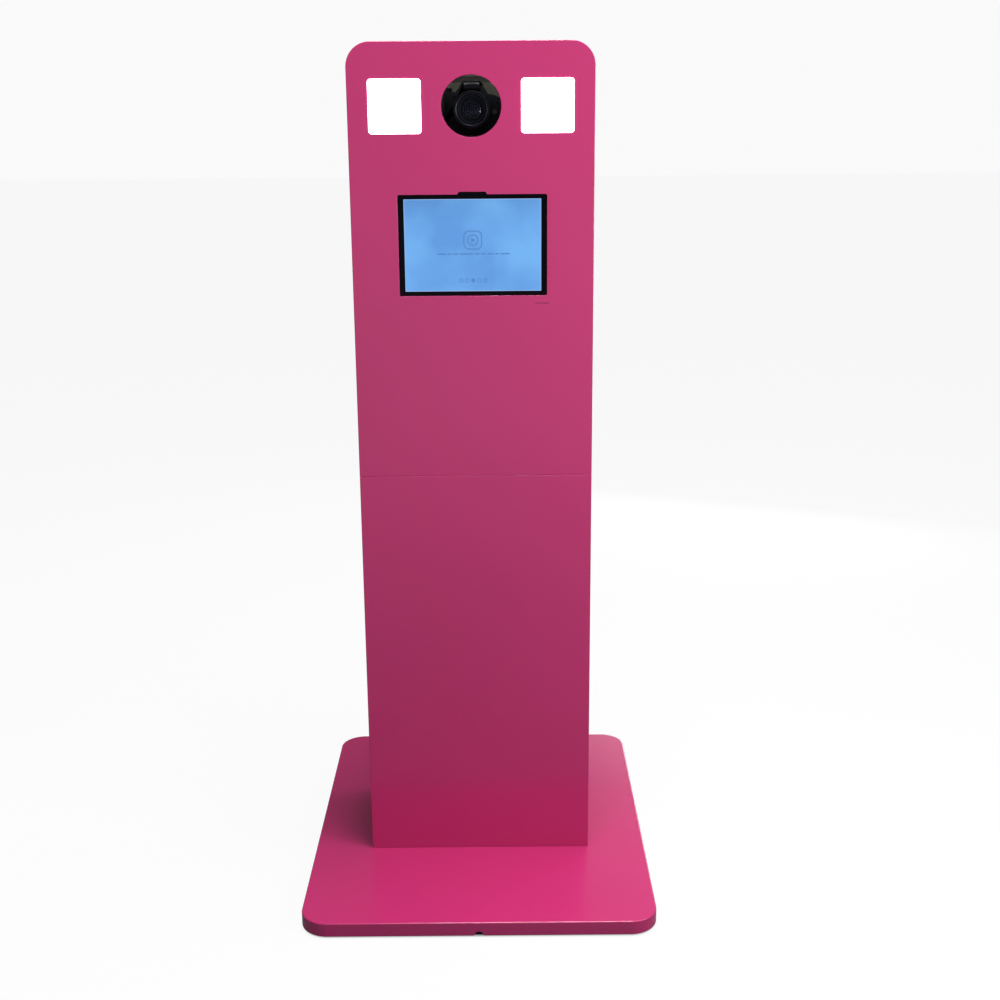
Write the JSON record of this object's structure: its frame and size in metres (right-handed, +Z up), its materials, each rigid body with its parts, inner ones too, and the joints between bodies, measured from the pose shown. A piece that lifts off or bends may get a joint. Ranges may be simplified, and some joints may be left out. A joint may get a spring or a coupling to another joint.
{
  "type": "photo booth",
  "caption": "Slim free-standing photo booth: two-section tower on a wide base plate, camera behind a round opening between two square lights, touch tablet below, rear doors.",
  "frame": {"origin": "on the floor, under the middle of the base plate", "axes": "+Z up, the front with its display faces -Y, +X to the right of a person who looks at the front"},
  "size_m": [0.7, 0.85, 1.672],
  "materials": {
    "pink_lacquer": "semi-gloss raspberry pink lacquer on board",
    "grey_board": "bare grey-green primed fibreboard",
    "rubber_pad": "matt black rubber",
    "zinc_steel": "zinc plated",
    "satin_steel": "satin",
    "lock_chrome": "polished",
    "black_plastic": "moulded, fine texture",
    "brass_pins": "nickelled brass",
    "red_plastic": "glossy, translucent",
    "supply_case": "perforated sheet",
    "lit_diffuser": "opal, lit from behind",
    "led_board": "white solder mask",
    "cast_alloy": "die cast, satin",
    "tablet_case": "bead blasted, dark anodised",
    "black_glass": "polished black border glass",
    "lit_display": "lit display under glass",
    "black_steel": "matt powder coat",
    "camera_shell": "fine grain",
    "camera_rubber": "ribbed or pebbled",
    "coated_glass": "coated lens glass, dark with a violet sheen",
    "camera_metal": "dark anodised",
    "cable_jacket": "smooth jacket",
    "clip_plastic": "natural nylon"
  },
  "bodies": {
    "cabinet": {"base_plate": "pink_lacquer", "base_feet": "rubber_pad", "base_bolts": "zinc_steel", "cable_grommets": "rubber_pad", "lower_front_panel": "pink_lacquer", "lower_side_left": "pink_lacquer", "lower_side_right": "pink_lacquer", "lower_bottom_deck": "grey_board", "lower_top_deck": "grey_board", "rear_rail": "pink_lacquer", "equipment_shelf": "grey_board", "upper_front_panel": "pink_lacquer", "upper_side_left": "pink_lacquer", "upper_side_right": "pink_lacquer", "top_corners": "pink_lacquer", "top_panel": "pink_lacquer", "upper_deck": "grey_board", "section_bolts": "zinc_steel", "hinge_frame_leaves": "satin_steel", "hinge_pins": "satin_steel", "lock_strikes": "zinc_steel", "inlet_socket": "black_plastic", "inlet_pins": "brass_pins", "power_supply": "supply_case", "light_diffusers": "lit_diffuser", "light_boards": "led_board", "light_housings": "cast_alloy", "tablet_body": "tablet_case", "tablet_glass": "black_glass", "tablet_display": "lit_display", "tablet_clamps": "black_steel", "camera_shelf": "grey_board", "camera_posts": "black_steel", "power_cables": "cable_jacket", "cable_clips": "clip_plastic"},
    "lower_door": {"lower_door": "pink_lacquer", "lower_door_leaves": "satin_steel", "lower_lock_barrel": "lock_chrome"},
    "upper_door": {"upper_door": "pink_lacquer", "upper_door_leaves": "satin_steel", "upper_lock_barrel": "lock_chrome"},
    "lower_lock": {"lower_lock_cam": "lock_chrome"},
    "upper_lock": {"upper_lock_cam": "lock_chrome"},
    "inlet_switch": {"inlet_rocker": "red_plastic"},
    "fuse_drawer": {"fuse_drawer": "black_plastic"},
    "tablet_power_button": {"tablet_power_button": "tablet_case"},
    "tablet_volume_button": {"tablet_volume_button": "tablet_case"},
    "carriage": {"camera_carriage": "black_steel"},
    "knob_left": {"clamp_knob_left": "black_plastic"},
    "knob_right": {"clamp_knob_right": "black_plastic"},
    "camera": {"camera_cradle": "black_steel", "tripod_screw": "zinc_steel", "camera_body": "camera_shell", "camera_grip": "camera_rubber", "lens_barrel": "camera_shell", "lens_glass": "coated_glass"},
    "zoom_ring": {"zoom_ring": "camera_rubber"},
    "focus_ring": {"focus_ring": "camera_rubber"},
    "shutter_button": {"shutter_button": "camera_metal"},
    "mode_dial": {"mode_dial": "camera_shell"}
  },
  "joints": [
    {"name": "lower_door_swing", "type": "hinge", "parent": "cabinet", "child": "lower_door", "pos_m": [-0.21425, 0.1385, 0.482], "axis": [0, 0, 1], "range_deg": [0, 110]},
    {"name": "upper_door_swing", "type": "hinge", "parent": "cabinet", "child": "upper_door", "pos_m": [-0.21425, 0.1385, 1.252], "axis": [0, 0, 1], "range_deg": [0, 110]},
    {"name": "lower_lock_turn", "type": "hinge", "parent": "lower_door", "child": "lower_lock", "pos_m": [0.195, 0.125, 0.497], "axis": [0, -1, 0], "range_deg": [0, 90]},
    {"name": "upper_lock_turn", "type": "hinge", "parent": "upper_door", "child": "upper_lock", "pos_m": [0.195, 0.125, 1.2545], "axis": [0, -1, 0], "range_deg": [0, 90]},
    {"name": "inlet_switch_tip", "type": "hinge", "parent": "cabinet", "child": "inlet_switch", "pos_m": [0.079, 0.1325, 0.087], "axis": [1, 0, 0], "range_deg": [0, 16]},
    {"name": "fuse_drawer_pull", "type": "slide", "parent": "cabinet", "child": "fuse_drawer", "axis": [0, 1, 0], "range_m": [0, 0.015]},
    {"name": "tablet_power_press", "type": "slide", "parent": "cabinet", "child": "tablet_power_button", "axis": [0, 0, -1], "range_m": [0, 0.0004], "stiffness_N_per_m": 400},
    {"name": "tablet_volume_tip", "type": "hinge", "parent": "cabinet", "child": "tablet_volume_button", "pos_m": [0.072, -0.1245, 1.40195], "axis": [0, 1, 0], "range_deg": [-2, 2], "stiffness_Nm_per_rad": 0.01},
    {"name": "camera_lift", "type": "slide", "parent": "cabinet", "child": "carriage", "axis": [0, 0, 1], "range_m": [-0.015, 0.015]},
    {"name": "camera_tilt", "type": "hinge", "parent": "carriage", "child": "camera", "pos_m": [0, -0.02, 1.541], "axis": [1, 0, 0], "range_deg": [-10, 10]},
    {"name": "left_knob_turn", "type": "hinge", "parent": "carriage", "child": "knob_left", "pos_m": [-0.104, -0.02, 1.541], "axis": [-1, 0, 0], "range_deg": [0, 180]},
    {"name": "right_knob_turn", "type": "hinge", "parent": "carriage", "child": "knob_right", "pos_m": [0.104, -0.02, 1.541], "axis": [1, 0, 0], "range_deg": [0, 180]},
    {"name": "zoom_turn", "type": "hinge", "parent": "camera", "child": "zoom_ring", "pos_m": [0, -0.068, 1.551], "axis": [0, -1, 0], "range_deg": [0, 65]},
    {"name": "focus_turn", "type": "hinge", "parent": "camera", "child": "focus_ring", "pos_m": [0, -0.101, 1.551], "axis": [0, -1, 0], "range_deg": [0, 90]},
    {"name": "shutter_press", "type": "slide", "parent": "camera", "child": "shutter_button", "axis": [0, 0, -1], "range_m": [0, 0.001], "stiffness_N_per_m": 600},
    {"name": "mode_dial_turn", "type": "hinge", "parent": "camera", "child": "mode_dial", "pos_m": [-0.048, -0.016, 1.587], "axis": [0, 0, 1], "continuous": true}
  ]
}
